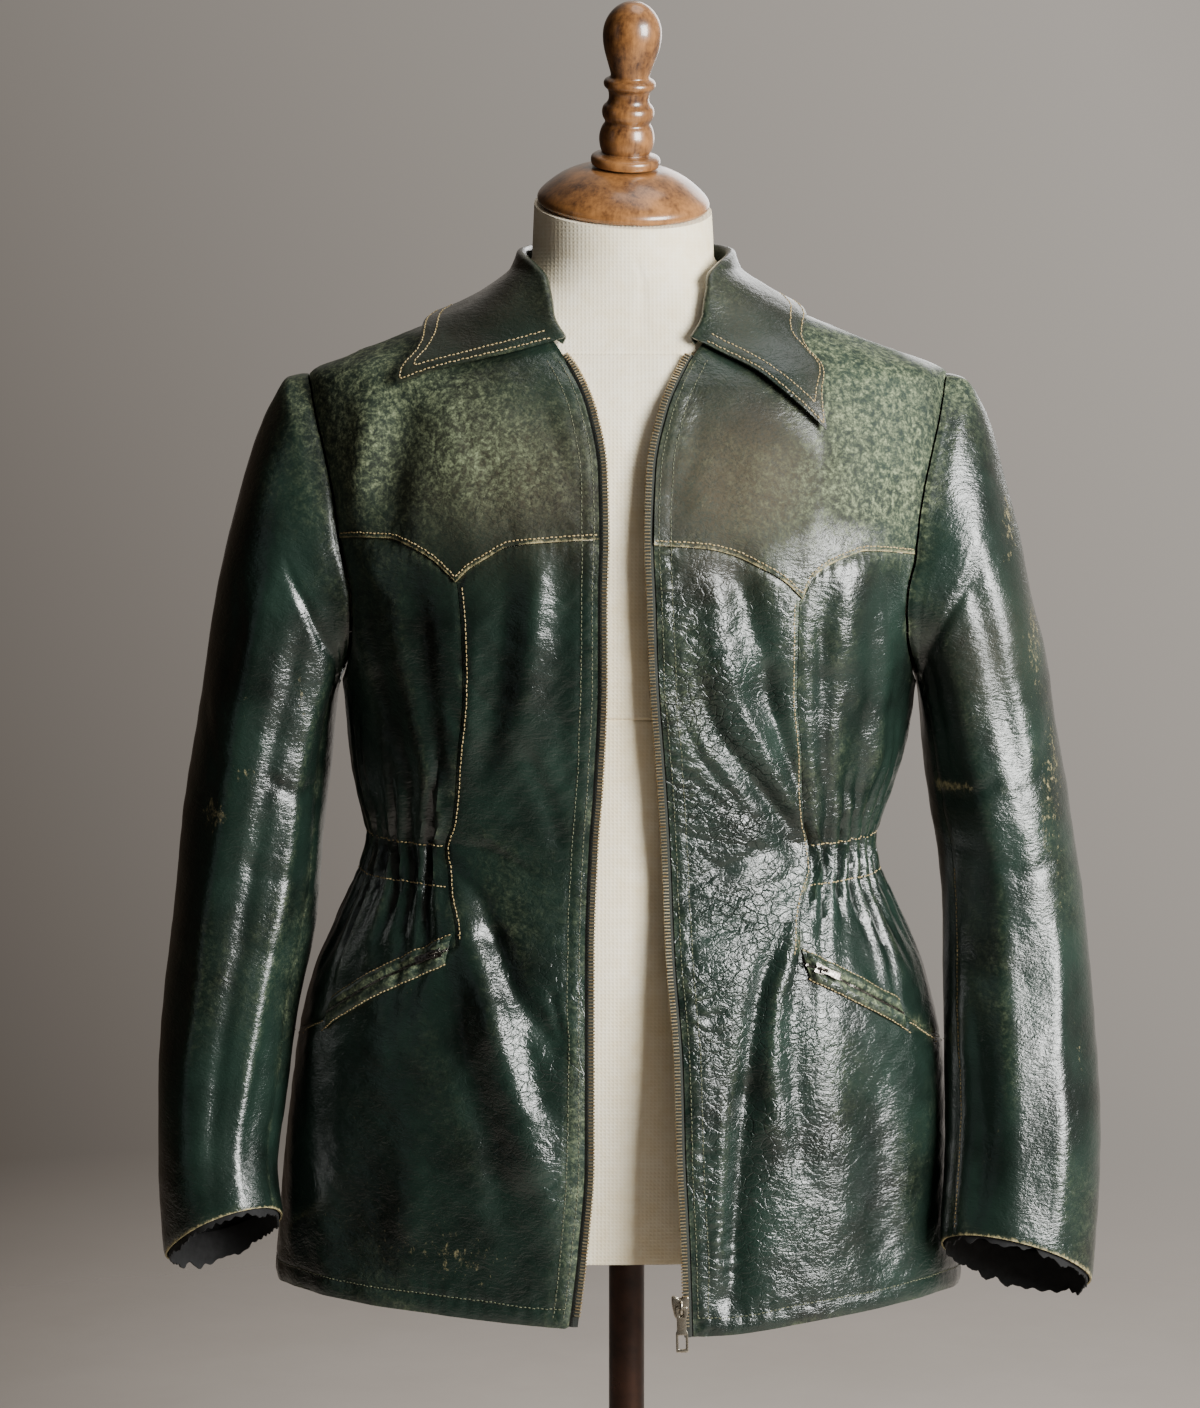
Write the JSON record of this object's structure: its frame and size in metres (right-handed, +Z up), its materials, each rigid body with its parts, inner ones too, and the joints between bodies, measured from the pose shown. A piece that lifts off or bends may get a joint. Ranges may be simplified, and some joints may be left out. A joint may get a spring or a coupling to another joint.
{
  "type": "leather jacket on a limbless dress form",
  "caption": "Waisted leather zip jacket with a pointed collar, pointed yokes, slanted zip pockets and gathered sides, worn open on a limbless dress form with a turned finial and round stand.",
  "frame": {"origin": "middle of the stand's foot, on the floor", "axes": "+Z up through the pole; the jacket's front faces -Y and the wearer's left is +X"},
  "size_m": [0.6344, 0.38, 1.2534],
  "materials": {
    "bottle_green_leather": "glossy, creased, worn pale green and tan on its ridges and edges",
    "black_lining": "dull satin, ragged",
    "zip_tape": "woven cotton tape, dull",
    "worn_nickel": "nickel plate worn to brass at the edges",
    "linen_cover": "plain woven linen, matt",
    "turned_wood": "polished brown",
    "bronzed_steel": "dark bronze, semi-gloss"
  },
  "bodies": {
    "jacket_and_form": {"back_panel": "bottle_green_leather", "back_yoke": "bottle_green_leather", "base": "bronzed_steel", "collar": "bottle_green_leather", "cuff_lining_l": "black_lining", "cuff_lining_r": "black_lining", "finial": "turned_wood", "form_torso": "linen_cover", "front_panel_l": "bottle_green_leather", "front_panel_r": "bottle_green_leather", "front_yoke_l": "bottle_green_leather", "front_yoke_r": "bottle_green_leather", "main_slider": "worn_nickel", "neck_cap": "turned_wood", "pocket_slider_l": "worn_nickel", "pocket_slider_r": "worn_nickel", "pocket_welt_lower_l": "bottle_green_leather", "pocket_welt_lower_r": "bottle_green_leather", "pocket_welt_upper_l": "bottle_green_leather", "pocket_welt_upper_r": "bottle_green_leather", "pocket_zip_l": "zip_tape", "pocket_zip_r": "zip_tape", "pole": "bronzed_steel", "side_front_l": "bottle_green_leather", "side_front_r": "bottle_green_leather", "top_sleeve_l": "bottle_green_leather", "top_sleeve_r": "bottle_green_leather", "under_sleeve_l": "bottle_green_leather", "under_sleeve_r": "bottle_green_leather", "zip_tape_l": "zip_tape", "zip_tape_r": "zip_tape"},
    "hanging_main_pull": {"main_pull": "worn_nickel"},
    "hanging_pocket_pull_l": {"pocket_pull_l": "worn_nickel"},
    "hanging_pocket_pull_r": {"pocket_pull_r": "worn_nickel"}
  },
  "joints": [
    {"name": "main_pull_hinge", "type": "hinge", "parent": "jacket_and_form", "child": "hanging_main_pull", "pos_m": [0.03446, -0.15053, 0.40416], "axis": [-0.9963, -0.0823, -0.024], "range_deg": [0, 160]},
    {"name": "pocket_pull_l_hinge", "type": "hinge", "parent": "jacket_and_form", "child": "hanging_pocket_pull_l", "pos_m": [0.12732, -0.10944, 0.62067], "axis": [-0.2895, -0.415, -0.8626], "range_deg": [0, 150]},
    {"name": "pocket_pull_r_hinge", "type": "hinge", "parent": "jacket_and_form", "child": "hanging_pocket_pull_r", "pos_m": [-0.12735, -0.11115, 0.63137], "axis": [-0.2697, 0.4178, 0.8676], "range_deg": [0, 150]}
  ]
}
